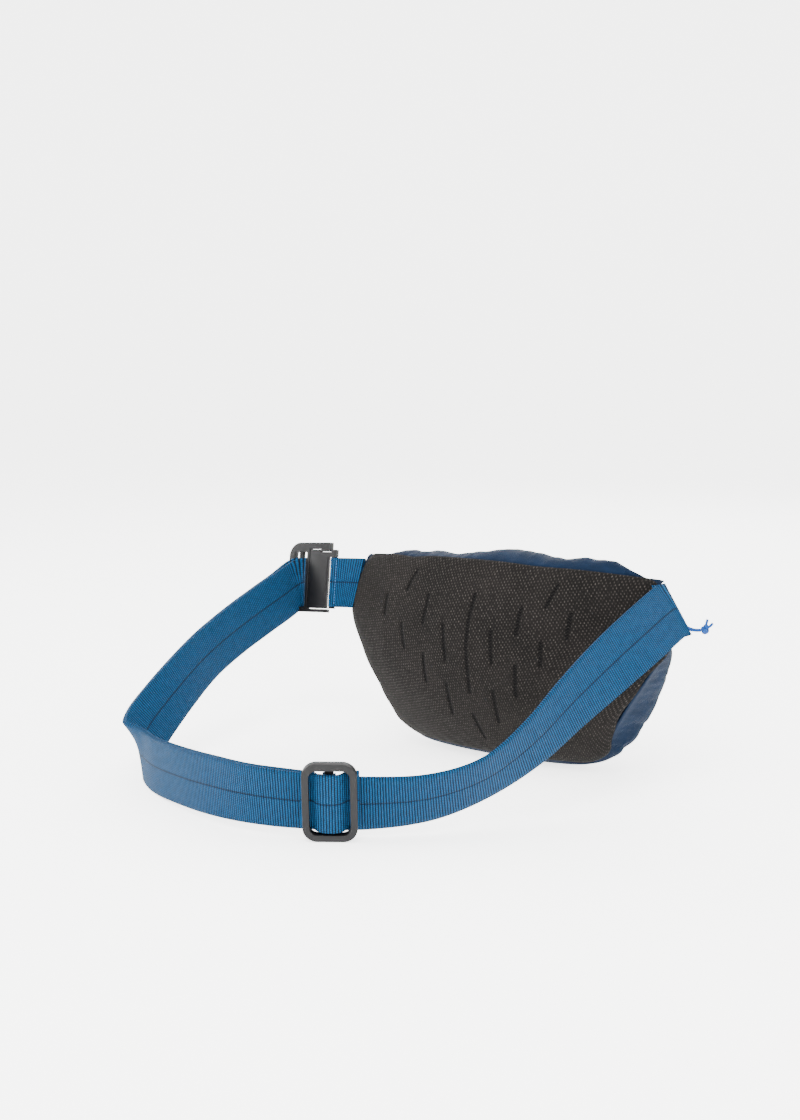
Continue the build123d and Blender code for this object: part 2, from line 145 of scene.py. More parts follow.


# Spacer knit: a black warp knit over foam. Matt, with tiny pale loops in slanting rows. Where the
# foam is cut through under it, the knit sinks into a slit with a herringbone of threads, and painted shade makes the
# slit near black between them.
def makeSpacerKnit():
    # the slit colour is painted shade: near black where the knit sinks into a slit
    look = {"ground": "110f0e", "deep": "0a0908", "fleck": "45413d", "slit": "010101", "thread": "121110",
            "rowMm": 1.7, "leanDegrees": 38, "chevronMm": 1.1, "pileMm": 0.4}
    material, tree, shader = newMaterial("blackSpacerKnit", 0.92, 0.1)
    uv = addNode(tree, "ShaderNodeUVMap", {"uv_map": "clothUv"})
    turned = addNode(
        tree, "ShaderNodeMapping", {"Rotation": (0, 0, math.radians(look["leanDegrees"])), "Scale": (1, 0.62, 1)},
        {"Vector": uv})
    loops = addNode(
        tree, "ShaderNodeTexVoronoi", {"Scale": 1 / (look["rowMm"] * mm), "Randomness": 0.16}, {"Vector": turned})
    spot = addNode(
        tree, "ShaderNodeMath", {"operation": "MULTIPLY_ADD", "use_clamp": True, 1: -3.1, 2: 1.0}, {0: loops})
    chance = addNode(tree, "ShaderNodeTexNoise", {"Scale": 420, "Detail": 2}, {"Vector": uv})
    caught = addNode(
        tree, "ShaderNodeMath", {"operation": "MULTIPLY_ADD", "use_clamp": True, 1: 3.0, 2: -0.95}, {0: chance})
    fleck = addNode(tree, "ShaderNodeMath", {"operation": "MULTIPLY"}, {0: spot, 1: caught})
    slit = addNode(tree, "ShaderNodeAttribute", {"attribute_name": "slitDepth"})
    # the slit mask: painted shade in the slit, and the herringbone relief
    slitShadeMask = addNode(
        tree, "ShaderNodeMath", {"operation": "MULTIPLY_ADD", "use_clamp": True, 1: 9.0, 2: -3.8},
        {0: slit.outputs["Fac"]})
    # the herringbone: rows that lean one way and then the other
    spread = addNode(tree, "ShaderNodeSeparateXYZ", {}, {"Vector": uv})
    lean = addNode(tree, "ShaderNodeMath", {"operation": "PINGPONG", 1: 1.2 * look["chevronMm"] * mm}, {0: spread})
    along = addNode(tree, "ShaderNodeMath", {"operation": "ADD"}, {0: spread.outputs[1], 1: lean})
    step = addNode(tree, "ShaderNodeMath", {"operation": "PINGPONG", 1: look["chevronMm"] * mm}, {0: along})
    chevron = addNode(tree, "ShaderNodeMath", {"operation": "DIVIDE", 1: look["chevronMm"] * mm}, {0: step})
    patchy = addNode(tree, "ShaderNodeTexNoise", {"Scale": 26, "Detail": 3}, {"Vector": uv})
    ground = addNode(
        tree, "ShaderNodeValToRGB", {"stops": [(0.3, look["deep"]), (0.72, look["ground"])]}, {"Fac": patchy})
    knit = addNode(
        tree, "ShaderNodeMix", {"data_type": "RGBA", 7: linearColour(look["fleck"])}, {0: fleck, 6: ground})
    # painted shade: the threads in a slit run from near black up to the knit's own colour
    threads = addNode(
        tree, "ShaderNodeValToRGB", {"stops": [(0.35, look["slit"]), (0.95, look["thread"])]}, {"Fac": chevron})
    colour = addNode(tree, "ShaderNodeMix", {"data_type": "RGBA"}, {0: slitShadeMask, 6: knit.outputs[2], 7: threads})
    tree.links.new(colour.outputs[2], shader.inputs["Base Color"])
    rib = addNode(tree, "ShaderNodeMath", {"operation": "MULTIPLY"}, {0: chevron, 1: slitShadeMask})
    height = addNode(tree, "ShaderNodeMath", {"operation": "SUBTRACT"}, {0: rib, 1: loops})
    bump = addNode(tree, "ShaderNodeBump", {"Distance": look["pileMm"] * mm, "Strength": 0.85}, {"Height": height})
    tree.links.new(bump.outputs[0], shader.inputs["Normal"])
    return material


# Shell nylon: plain-woven, coated inside. An even soft shine, faint weave, slightly mottled dye.
def makeShellNylon():
    look = {"light": "07192e", "mid": "051528", "dark": "041223", "valley": "020b18", "threadMm": 0.9, "crumpleMm": 0.9}
    material, tree, shader = newMaterial("slateNylonShell", 0.66, 0.07)
    uv = addNode(tree, "ShaderNodeUVMap", {"uv_map": "clothUv"})
    mottle = addNode(tree, "ShaderNodeTexNoise", {"Scale": 60, "Detail": 4, "Roughness": 0.6}, {"Vector": uv})
    tint = addNode(
        tree, "ShaderNodeValToRGB", {"stops": [(0.25, look["dark"]), (0.5, look["mid"]), (0.75, look["light"])]},
        {"Fac": mottle})
    spread = addNode(tree, "ShaderNodeSeparateXYZ", {}, {"Vector": uv})
    turns = 2 * math.pi / (look["threadMm"] * mm)  # threads drawn coarser than real, to show
    warpTurn = addNode(tree, "ShaderNodeMath", {"operation": "MULTIPLY", 1: turns}, {0: spread})
    weftTurn = addNode(tree, "ShaderNodeMath", {"operation": "MULTIPLY", 1: turns}, {0: spread.outputs[1]})
    warp = addNode(tree, "ShaderNodeMath", {"operation": "SINE"}, {0: warpTurn})
    weft = addNode(tree, "ShaderNodeMath", {"operation": "SINE"}, {0: weftTurn})
    weave = addNode(tree, "ShaderNodeMath", {"operation": "MULTIPLY"}, {0: warp, 1: weft})
    shade = addNode(tree, "ShaderNodeMath", {"operation": "MULTIPLY_ADD", 1: 0.07, 2: 0.07}, {0: weave})
    colour = addNode(
        tree, "ShaderNodeMix", {"data_type": "RGBA", 7: linearColour(look["valley"])}, {0: shade, 6: tint})
    tree.links.new(colour.outputs[2], shader.inputs["Base Color"])
    fine = addNode(
        tree, "ShaderNodeBump", {"Distance": 0.1 * look["threadMm"] * mm, "Strength": 0.8}, {"Height": weave})
    crumple = addNode(tree, "ShaderNodeTexNoise", {"Scale": 95, "Detail": 3, "Distortion": 0.6}, {"Vector": uv})
    bump = addNode(
        tree, "ShaderNodeBump", {"Distance": look["crumpleMm"] * mm, "Strength": 0.5},
        {"Height": crumple, "Normal": fine})
    tree.links.new(bump.outputs[0], shader.inputs["Normal"])
    return material


# Webbing: ribbed nylon. Ribs run across the strap, each made of short floats with a painted highlight
# on them and painted shade between them, and a darker woven line runs down the middle.
def makeWebbing():
    # the crest colour is a painted highlight and the gap colour a painted shade
    look = {"crest": "083a5e", "side": "042238", "gap": "01050c", "line": "01040b",
            "ribMm": 1.65, "floatMm": 1.5, "lineMm": 0.9, "middleMm": 19.0, "reliefMm": 0.4}  # ribs a little coarse, to show
    material, tree, shader = newMaterial("blueNylonWebbing", 0.65, 0.07)
    uv = addNode(tree, "ShaderNodeUVMap", {"uv_map": "clothUv"})
    spread = addNode(tree, "ShaderNodeSeparateXYZ", {}, {"Vector": uv})
    length, width = spread.outputs[0], spread.outputs[1]
    wander = addNode(tree, "ShaderNodeTexNoise", {"Scale": 260, "Detail": 2}, {"Vector": uv})
    ribCount = addNode(tree, "ShaderNodeMath", {"operation": "DIVIDE", 1: look["ribMm"] * mm}, {0: length})
    loose = addNode(tree, "ShaderNodeMath", {"operation": "MULTIPLY_ADD", 1: 0.35}, {0: wander, 2: ribCount})
    ribTurn = addNode(tree, "ShaderNodeMath", {"operation": "MULTIPLY", 1: math.pi}, {0: loose})
    ribWave = addNode(tree, "ShaderNodeMath", {"operation": "SINE"}, {0: ribTurn})
    rib = addNode(tree, "ShaderNodeMath", {"operation": "ABSOLUTE"}, {0: ribWave})
    # each rib's floats sit half a float along from its neighbour's
    ribNumber = addNode(tree, "ShaderNodeMath", {"operation": "FLOOR"}, {0: loose})
    stagger = addNode(tree, "ShaderNodeMath", {"operation": "MULTIPLY", 1: math.pi / 2}, {0: ribNumber})
    floatTurn = addNode(
        tree, "ShaderNodeMath", {"operation": "MULTIPLY_ADD", 1: math.pi / (look["floatMm"] * mm)},
        {0: width, 2: stagger})
    floatWave = addNode(tree, "ShaderNodeMath", {"operation": "SINE"}, {0: floatTurn})
    floatSize = addNode(tree, "ShaderNodeMath", {"operation": "ABSOLUTE"}, {0: floatWave})
    floats = addNode(
        tree, "ShaderNodeMath", {"operation": "MULTIPLY_ADD", 1: 0.42, 2: 0.62, "use_clamp": True}, {0: floatSize})
    crest = addNode(tree, "ShaderNodeMath", {"operation": "MULTIPLY"}, {0: rib, 1: floats})
    fromMiddle = addNode(tree, "ShaderNodeMath", {"operation": "SUBTRACT", 1: look["middleMm"] * mm}, {0: width})
    offMiddle = addNode(tree, "ShaderNodeMath", {"operation": "ABSOLUTE"}, {0: fromMiddle})
    line = addNode(
        tree, "ShaderNodeMath", {"operation": "MULTIPLY_ADD", "use_clamp": True, 1: -1 / (look["lineMm"] * mm), 2: 1.0},
        {0: offMiddle})
    # painted highlight on the rib crests, painted shade in the gaps between the floats
    lit = addNode(tree, "ShaderNodeMath", {"operation": "MULTIPLY_ADD", 1: 0.35}, {0: wander, 2: crest})
    shadedYarn = addNode(
        tree, "ShaderNodeValToRGB", {"stops": [(0.38, look["gap"]), (0.72, look["side"]), (1.0, look["crest"])]},
        {"Fac": lit})
    inLine = addNode(tree, "ShaderNodeMath", {"operation": "MULTIPLY", 1: 0.85}, {0: line})
    colour = addNode(
        tree, "ShaderNodeMix", {"data_type": "RGBA", 7: linearColour(look["line"])}, {0: inLine, 6: shadedYarn})
    tree.links.new(colour.outputs[2], shader.inputs["Base Color"])
    height = addNode(tree, "ShaderNodeMath", {"operation": "SUBTRACT"}, {0: crest, 1: inLine})
    bump = addNode(tree, "ShaderNodeBump", {"Distance": look["reliefMm"] * mm, "Strength": 1.0}, {"Height": height})
    tree.links.new(bump.outputs[0], shader.inputs["Normal"])
    return material


# Moulded acetal: the buckle and ring. Near black, a spark-eroded grain, satin where it is rubbed.
def makeMouldedAcetal():
    look = {"body": "040405", "rubbed": "08080a", "grainMm": 0.5}
    material, tree, shader = newMaterial("greyMouldedAcetal", 0.42, 0.22)
    place = addNode(tree, "ShaderNodeTexCoord").outputs["Object"]
    grain = addNode(
        tree, "ShaderNodeTexNoise", {"Scale": 1 / (look["grainMm"] * mm), "Detail": 2}, {"Vector": place})
    broad = addNode(tree, "ShaderNodeTexNoise", {"Scale": 60, "Detail": 2}, {"Vector": place})
    colour = addNode(
        tree, "ShaderNodeValToRGB", {"stops": [(0.35, look["body"]), (0.7, look["rubbed"])]}, {"Fac": broad})
    tree.links.new(colour.outputs[0], shader.inputs["Base Color"])
    satin = addNode(tree, "ShaderNodeMath", {"operation": "MULTIPLY_ADD", 1: 0.18, 2: 0.36}, {0: broad})
    tree.links.new(satin.outputs[0], shader.inputs["Roughness"])
    bump = addNode(tree, "ShaderNodeBump", {"Distance": 0.00006, "Strength": 0.7}, {"Height": grain})
    tree.links.new(bump.outputs[0], shader.inputs["Normal"])
    return material


# Braided accessory cord: bright polyester, plaited strands just under a millimetre wide.
def makeBraidedCord():
    look = {"light": "004c98", "mid": "00387c", "dark": "001e42", "plaitMm": 0.9}
    material, tree, shader = newMaterial("blueBraidedCord", 0.65, 0.2)
    place = addNode(tree, "ShaderNodeTexCoord").outputs["Object"]
    plait = addNode(
        tree, "ShaderNodeTexVoronoi", {"Scale": 1 / (look["plaitMm"] * mm), "Randomness": 0.45}, {"Vector": place})
    colour = addNode(
        tree, "ShaderNodeValToRGB", {"stops": [(0.1, look["light"]), (0.4, look["mid"]), (0.75, look["dark"])]},
        {"Fac": plait})
    tree.links.new(colour.outputs[0], shader.inputs["Base Color"])
    bump = addNode(
        tree, "ShaderNodeBump", {"Distance": 0.00025, "Strength": 0.8, "invert": True}, {"Height": plait})
    tree.links.new(bump.outputs[0], shader.inputs["Normal"])
    return material


# Zip tape: knitted polyester, matt, with fine ribs along its length.
def makeZipTape():
    look = {"light": "1c3248", "dark": "122335", "ribMm": 0.9}
    material, tree, shader = newMaterial("knittedZipTape", 0.8, 0.25)
    place = addNode(tree, "ShaderNodeTexCoord").outputs["Object"]
    spread = addNode(tree, "ShaderNodeSeparateXYZ", {}, {"Vector": place})
    ribTurn = addNode(
        tree, "ShaderNodeMath", {"operation": "MULTIPLY", 1: 2 * math.pi / (look["ribMm"] * mm)},
        {0: spread.outputs[2]})
    rib = addNode(tree, "ShaderNodeMath", {"operation": "SINE"}, {0: ribTurn})
    speck = addNode(tree, "ShaderNodeTexNoise", {"Scale": 900, "Detail": 2}, {"Vector": place})
    colour = addNode(
        tree, "ShaderNodeValToRGB", {"stops": [(0.35, look["dark"]), (0.65, look["light"])]}, {"Fac": speck})
    tree.links.new(colour.outputs[0], shader.inputs["Base Color"])
    height = addNode(tree, "ShaderNodeMath", {"operation": "ADD"}, {0: rib, 1: speck})
    bump = addNode(tree, "ShaderNodeBump", {"Distance": 0.00012, "Strength": 0.7}, {"Height": height})
    tree.links.new(bump.outputs[0], shader.inputs["Normal"])
    return material


# Nylon monofilament of the coil, and the dyed polyester of the stitching: plain, slightly glossy.
def makeFilament(name, dark, light, roughness, speckMm):
    material, tree, shader = newMaterial(name, roughness, 0.45)
    place = addNode(tree, "ShaderNodeTexCoord").outputs["Object"]
    speck = addNode(tree, "ShaderNodeTexNoise", {"Scale": 1 / (speckMm * mm), "Detail": 2}, {"Vector": place})
    colour = addNode(tree, "ShaderNodeValToRGB", {"stops": [(0.35, dark), (0.65, light)]}, {"Fac": speck})
    tree.links.new(colour.outputs[0], shader.inputs["Base Color"])
    bump = addNode(tree, "ShaderNodeBump", {"Distance": 0.00005, "Strength": 0.6}, {"Height": speck})
    tree.links.new(bump.outputs[0], shader.inputs["Normal"])
    return material


# Stove-painted zinc of the slider and tab: dark, worn to a satin in patches spread by noise.
def makePaintedZinc():
    look = {"paint": "25272b", "worn": "4d5054"}
    material, tree, shader = newMaterial("paintedZincSlider", 0.38, 0.5)
    place = addNode(tree, "ShaderNodeTexCoord").outputs["Object"]
    wear = addNode(tree, "ShaderNodeTexNoise", {"Scale": 500, "Detail": 4}, {"Vector": place})
    colour = addNode(
        tree, "ShaderNodeValToRGB", {"stops": [(0.5, look["paint"]), (0.78, look["worn"])]}, {"Fac": wear})
    tree.links.new(colour.outputs[0], shader.inputs["Base Color"])
    satin = addNode(tree, "ShaderNodeMath", {"operation": "MULTIPLY_ADD", 1: 0.2, 2: 0.28}, {0: wear})
    tree.links.new(satin.outputs[0], shader.inputs["Roughness"])
    return material


# Coated lining: thin grey polyester taffeta with a faint square weave.
def makeLining():
    look = {"light": "8d97a3", "dark": "727c88", "threadMm": 1.2}
    material, tree, shader = newMaterial("greyTaffetaLining", 0.55, 0.4)
    place = addNode(tree, "ShaderNodeTexCoord").outputs["Object"]
    spread = addNode(tree, "ShaderNodeSeparateXYZ", {}, {"Vector": place})
    turns = 2 * math.pi / (look["threadMm"] * mm)
    acrossTurn = addNode(tree, "ShaderNodeMath", {"operation": "MULTIPLY", 1: turns}, {0: spread})
    uprightTurn = addNode(tree, "ShaderNodeMath", {"operation": "MULTIPLY", 1: turns}, {0: spread.outputs[2]})
    across = addNode(tree, "ShaderNodeMath", {"operation": "SINE"}, {0: acrossTurn})
    upright = addNode(tree, "ShaderNodeMath", {"operation": "SINE"}, {0: uprightTurn})
    weave = addNode(tree, "ShaderNodeMath", {"operation": "MULTIPLY"}, {0: across, 1: upright})
    colour = addNode(
        tree, "ShaderNodeValToRGB", {"stops": [(0.0, look["dark"]), (1.0, look["light"])]}, {"Fac": weave})
    tree.links.new(colour.outputs[0], shader.inputs["Base Color"])
    bump = addNode(tree, "ShaderNodeBump", {"Distance": 0.0001, "Strength": 0.6}, {"Height": weave})
    tree.links.new(bump.outputs[0], shader.inputs["Normal"])
    return material


# Seamless paper, lit from behind so that it stays pale: matt, with a faint fibre.
def makeStudioPaper():
    look = {"light": "fafaf9", "dark": "f6f6f5", "glow": 2.4}
    material, tree, shader = newMaterial("whiteStudioPaper", 0.85, 0.2)
    place = addNode(tree, "ShaderNodeTexCoord").outputs["Object"]
    fibre = addNode(tree, "ShaderNodeTexNoise", {"Scale": 12, "Detail": 3}, {"Vector": place})
    colour = addNode(
        tree, "ShaderNodeValToRGB", {"stops": [(0.2, look["dark"]), (0.8, look["light"])]}, {"Fac": fibre})
    tree.links.new(colour.outputs[0], shader.inputs["Base Color"])
    shader.inputs["Emission Color"].default_value = (1, 1, 1, 1)
    shader.inputs["Emission Strength"].default_value = look["glow"]
    material.cycles.emission_sampling = "NONE"
    return material


spacerKnit = makeSpacerKnit()
shellNylon = makeShellNylon()
webbingBlue = makeWebbing()
acetal = makeMouldedAcetal()
braidedCord = makeBraidedCord()
zipTape = makeZipTape()
zipCoil = makeFilament("nylonCoil", "20242a", "39424d", 0.35, 0.6)
thread = makeFilament("polyesterThread", "1c3f66", "2f6092", 0.6, 0.3)
paintedZinc = makePaintedZinc()
taffeta = makeLining()
print("materials are ready")


def finishMesh(bm, name, material, body):
    mesh = bpy.data.meshes.new(name)
    bm.to_mesh(mesh)
    bm.free()
    piece = bpy.data.objects.new(name, mesh)
    scene.collection.objects.link(piece)
    mesh.materials.append(material)
    for face in mesh.polygons:
        face.use_smooth = True
    if body:
        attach(piece, body)
    return piece


def thicken(piece, thickness, offset):
    solid = piece.modifiers.new("thickness", "SOLIDIFY")
    solid.thickness = thickness
    solid.offset = offset
    return solid


def smoothOver(piece, levels):
    smoother = piece.modifiers.new("smoother", "SUBSURF")
    smoother.levels = smoother.render_levels = levels
    return smoother


# A flat grid of cloth whose every point is put in place by a rule; u and v run 0 to 1 across it.
def shapeCloth(name, columns, rows, rule, size, material, body, facing=None):
    bm = bmesh.new()
    uvLayer = bm.loops.layers.uv.new("clothUv")
    bmesh.ops.create_grid(bm, x_segments=columns, y_segments=rows, size=0.5, calc_uvs=True)
    for face in bm.faces:
        for loop in face.loops:
            loop[uvLayer].uv = ((loop.vert.co.x + 0.5) * size[0], (loop.vert.co.y + 0.5) * size[1])
    for vert in bm.verts:
        vert.co = Vector(rule(vert.co.x + 0.5, vert.co.y + 0.5)) * mm
    bm.normal_update()
    if facing and sum(face.normal.dot(Vector(facing(face.calc_center_median()))) for face in bm.faces) < 0:
        bmesh.ops.reverse_faces(bm, faces=bm.faces)
    return finishMesh(bm, name, material, body)


def gridShares(columns, rows):
    return [(i / columns, j / rows) for j in range(rows + 1) for i in range(columns + 1)]


# Lets a sewn cloth settle and fill out: its sewn points stay, and no point moves further than the cap.
def settleCloth(piece, sewn, capMm, growth, pressure, floorMm):
    group = piece.vertex_groups.new(name="sewn")
    group.add(sewn, 1.0, "REPLACE")
    cloth = piece.modifiers.new("settling", "CLOTH")
    cloth.settings.quality = 6
    cloth.settings.mass = 0.25
    cloth.settings.use_pressure = True
    cloth.settings.uniform_pressure_force = pressure
    cloth.settings.vertex_group_mass = "sewn"
    cloth.settings.shrink_min = -growth
    cloth.settings.bending_stiffness = 0.35
    cloth.settings.effector_weights.gravity = 0
    cloth.collision_settings.use_collision = False
    for step in range(1, 21):
        scene.frame_set(step)
    settled = piece.evaluated_get(bpy.context.evaluated_depsgraph_get()).to_mesh()
    moves = [settled.vertices[vert.index].co - vert.co for vert in piece.data.vertices]
    for vert, move in zip(piece.data.vertices, moves):
        if move.length > capMm * mm:
            move = move.normalized() * capMm * mm
        vert.co += move
        vert.co.z = max(vert.co.z, floorMm * mm)
    piece.modifiers.remove(cloth)
    piece.vertex_groups.remove(group)
    scene.frame_set(1)


# A smooth run through stations of (place, width direction), read by share of its length.
def smoothRun(stations):
    places = [Vector(place) for place, _ in stations]
    widths = [Vector(width).normalized() for _, width in stations]
    marks = [0.0]
    for before, after in zip(places, places[1:]):
        marks.append(marks[-1] + (after - before).length)
    last = len(places) - 1

    def slope(values, i):
        a, b = max(i - 1, 0), min(i + 1, last)
        return (values[b] - values[a]) / (marks[b] - marks[a])

    def read(share):
        at = clamp(share) * marks[-1]
        i = next((k for k in range(last) if at <= marks[k + 1]), last - 1)
        span = marks[i + 1] - marks[i]
        t = (at - marks[i]) / span
        found = []
        for values in (places, widths):
            found.append(
                values[i] * (2 * t**3 - 3 * t**2 + 1) + slope(values, i) * span * (t**3 - 2 * t**2 + t)
                + values[i + 1] * (3 * t**2 - 2 * t**3) + slope(values, i + 1) * span * (t**3 - t**2))
        return found[0], found[1].normalized()

    return read, marks[-1]


def layWebbing(name, stations, width, thickness, material, body, stepMm=1.5, wave=0.12):
    read, length = smoothRun(stations)

    def rule(share, across):
        place, direction = read(share)
        ripple = noise.noise(Vector((share * length / 17, across * 1.6, 4.2))) * wave
        scallop = 0.5 + 0.5 * math.sin(share * length * 2 * math.pi / 1.5)
        edge = 1 - 0.006 * scallop * (abs(across - 0.5) > 0.49)
        normal = (read(share + 0.002)[0] - read(share - 0.002)[0]).cross(direction).normalized()
        return place + direction * (across - 0.5) * width * edge + normal * ripple

    flat = (length * mm, width * mm)
    piece = shapeCloth(name, int(length / stepMm), 12, rule, flat, material, body)
    thicken(piece, thickness * mm, 0)
    return piece, length


# The padded back panel: one swell towards the wearer, cut through by short slits.
backPanel = {
    # height, then half the width there
    "halfWidths": [
        (6.5, 85), (24, 91.5), (42, 98.5), (70, 116), (92, 130.5), (99, 133), (110, 132), (124, 128.5), (139, 125)],
    "lowZ": 6.5, "crownZ": 147.0, "wingTopZ": 139.0, "cornerRise": 15.2,
    "frontY": -51.0, "uprightRadius": 120.0, "levelRadius": 250.0, "midZ": 85.0,
    "padMm": 3.0, "columns": 230, "rows": 136,
    # the slits over the swell, each from its upper end to its lower one (x, z)
    "slits": [
        [(-56, 135), (-60, 128), (-62, 121)], [(-83, 115), (-84, 101)], [(-40, 120), (-43, 100)],
        [(-64, 97), (-61, 80)], [(-24, 101), (-21, 77)], [(-42, 78), (-41, 58)],
        [(0, 124), (-2.5, 107), (-3, 90), (-2, 55)], [(16, 101), (17, 79)], [(37, 118), (35, 100)],
        [(59, 134), (54, 120)], [(53, 96), (53, 80)], [(35, 78), (34, 57)], [(-22, 58), (-21, 36)],
        [(17, 58), (17, 35)], [(-3, 38), (1, 20)], [(71, 116), (70, 100)], [(86, 92), (82, 76)],
        [(68, 66), (63, 50)],
    ],
    "slitMm": 1.4,
}


def panelFace(x, z, depth):
    radius = backPanel["uprightRadius"] - depth
    middleY = backPanel["frontY"] + backPanel["uprightRadius"]
    profile = middleY - math.sqrt(radius**2 - (z - backPanel["midZ"])**2)
    axisY = backPanel["frontY"] + backPanel["levelRadius"]
    return axisY - math.sqrt((axisY - profile)**2 - x * x)


def panelPoint(u, v):
    side = 2 * u - 1
    z = backPanel["lowZ"] + (backPanel["crownZ"] - backPanel["lowZ"]) * v
    rise = (backPanel["cornerRise"] * (1 - math.sqrt(1 - clamp((abs(side) - 0.76) / 0.24)**2))) * (1 - v)**3
    z += rise
    x = side * alongTable(backPanel["halfWidths"], z)
    drop = (backPanel["crownZ"] - backPanel["wingTopZ"]) * (x / 125)**2
    dip = 1.3 * math.exp(-((x + 66) / 12)**2) + 0.8 * math.exp(-((x - 40) / 18)**2)
    z -= (drop + dip) * smoothStep(0.45, 1, v)
    z -= 5.0 * smoothStep(0.9, 1, abs(side)) * smoothStep(0.85, 1, v)
    return x, z


def distanceToLine(x, z, line):
    best = 99.0
    for (ax, az), (bx, bz) in zip(line, line[1:]):
        run = (bx - ax)**2 + (bz - az)**2
        t = clamp(((x - ax) * (bx - ax) + (z - az) * (bz - az)) / run)
        best = min(best, math.hypot(x - ax - t * (bx - ax), z - az - t * (bz - az)))
    return best


def slitDepth(x, z):
    near = min(distanceToLine(x, z, line) for line in backPanel["slits"])
    return clamp(1 - near / (2 * backPanel["slitMm"]))


def panelRule(u, v):
    x, z = panelPoint(u, v)
    edge = min(u, 1 - u) * 250
    edge = min(edge, v * 140, (1 - v) * 140)
    rollBack = 2.6 * math.exp(-edge / 3.2)
    pucker = 0.4 * math.sin((x + z * 1.3) * 0.42) * math.exp(-edge / 6) * (1 - math.exp(-edge / 1.5))
    swell = 0.5 * noise.noise(Vector((x / 26, z / 22, 1.7))) + 0.2 * noise.noise(Vector((x / 9, z / 9, 6.1)))
    dent = 1.1 * slitDepth(x, z)**1.5
    return x, panelFace(x, z, 0.35) + rollBack + pucker + dent - swell * (1 - math.exp(-edge / 12)), z


panel = shapeCloth(
    "backPanelPad", backPanel["columns"], backPanel["rows"], panelRule, (0.262, 0.1405), spacerKnit, "pack",
    lambda centre: (0, -1, 0))
depths = panel.data.attributes.new("slitDepth", "FLOAT", "POINT")
for index, vert in enumerate(panel.data.vertices):
    depths.data[index].value = slitDepth(vert.co.x / mm, vert.co.z / mm)
thicken(panel, backPanel["padMm"] * mm, -1)
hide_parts("back_panel_mesh", "back_panel_foam")
print("back panel is padded and slit")

# The pouch: one cloth from the bottom seam round the front up to the zip.
pouch = {
    # share of the way from the bottom seam round to the zip, then the middle of the cloth (y, z)
    "middle": [
        (0.0, -15.5, 6.6), (0.06, -9.5, 1.6), (0.12, -2.0, 0.25), (0.2, 7.5, 0.7), (0.28, 17.5, 5.5), (0.36, 24.5, 15),
        (0.46, 29.5, 30), (0.58, 32, 50), (0.72, 32.3, 75), (0.85, 30.4, 97), (0.93, 28.3, 109), (1.0, 26.9, 117.5)],
    # the seam end of each row: half width, height
    "seam": [
        (0.0, 62, 6.6), (0.06, 71, 8.5), (0.12, 78, 12.5), (0.2, 84.5, 20), (0.28, 90.5, 29), (0.36, 96, 38),
        (0.46, 104, 51), (0.58, 113.5, 66), (0.72, 122.5, 81), (0.85, 129, 97), (0.93, 128.5, 108),
        (1.0, 121.5, 117.5)],
    # how far the cloth stands out sideways past its seam
    "overhang": [(0.0, 0), (0.1, 2), (0.2, 8), (0.36, 12.5), (0.5, 11.5), (0.72, 5.5), (0.85, 2.0), (1.0, 0)],
    "columns": 130, "rows": 74, "clothMm": 1.0,
}


def readRow(table, at):
    for row, after in zip(table, table[1:]):
        if at <= after[0]:
            t = clamp((at - row[0]) / (after[0] - row[0]))
            return [low + (high - low) * t for low, high in zip(row[1:], after[1:])]
    return list(table[-1][1:])


def readSoft(table, at, spread=0.035):
    # the mean of nearby readings rounds the table's corners, and keeps its ends
    spread = min(spread, at, 1 - at)
    rows = [readRow(table, at + spread * k / 3) for k in (-3, -2, -1, 0, 1, 2, 3)]
    return [sum(values) / 7 for values in zip(*rows)]


def pouchRule(u, v):
    turn = (u - 0.5) * math.pi
    middleY, middleZ = readSoft(pouch["middle"], v)
    seamX, seamZ = readSoft(pouch["seam"], v)
    overhang = readSoft(pouch["overhang"], v)[0]
    seamY = panelFace(seamX, seamZ, 5.2) + 0.6 * (1 - v)
    side, front = math.sin(turn), abs(math.cos(turn))
    boxy = 0.62 - 0.12 * smoothStep(0.1, 0.5, v)
    past = overhang * math.sin(math.pi * min(1, abs(side)**3)) ** 0.8
    x = seamX * side * (abs(side)**(-0.12) if side else 1) + math.copysign(past, side)
    reach = front**boxy
    y = seamY + (middleY - seamY) * reach
    z = seamZ + (middleZ - seamZ) * front**0.72
    if v > 0.78:  # the top rows draw in to the flat arc of the zip
        arcX = 229.2 * math.sin(side * math.radians(32))
        arcY = -203 + 229.2 * math.cos(side * math.radians(32))
        pull = smoothStep(0.78, 0.95, v)
        x, y, z = x + (arcX - x) * pull, y + (arcY - y) * pull, z + (117.5 - z) * smoothStep(0.86, 1, v)
    edge = min(u, 1 - u) * 2
    seamPull = math.exp(-edge * 9) + 0.8 * math.exp(-(1 - v) * 16) + 0.5 * math.exp(-v * 22)
    along = z * 0.9 + x * 0.35 if edge < 0.3 else x * 0.55
    pucker = 0.55 * math.sin(along) * seamPull * (1 - math.exp(-edge * 60))
    folds = 1.25 * noise.noise(Vector((x / 34, z / 21, 2.3)))
    folds += 0.5 * noise.noise(Vector((x / 13, z / 10 + x / 40, 8.1)))
    crease = -0.8 * math.exp(-((z - 30 - 0.05 * x + 2 * math.sin(x / 18)) / 2.4)**2)
    calm = smoothStep(0.05, 0.3, v) * (1 - smoothStep(0.88, 1, v)) * smoothStep(0, 0.12, edge)
    out = Vector((side * (1 - front) * 0.9, 0.4 + reach, 0)).normalized()
    return Vector((x, y, max(z, 0.2))) + out * (pucker + (folds + crease) * calm)


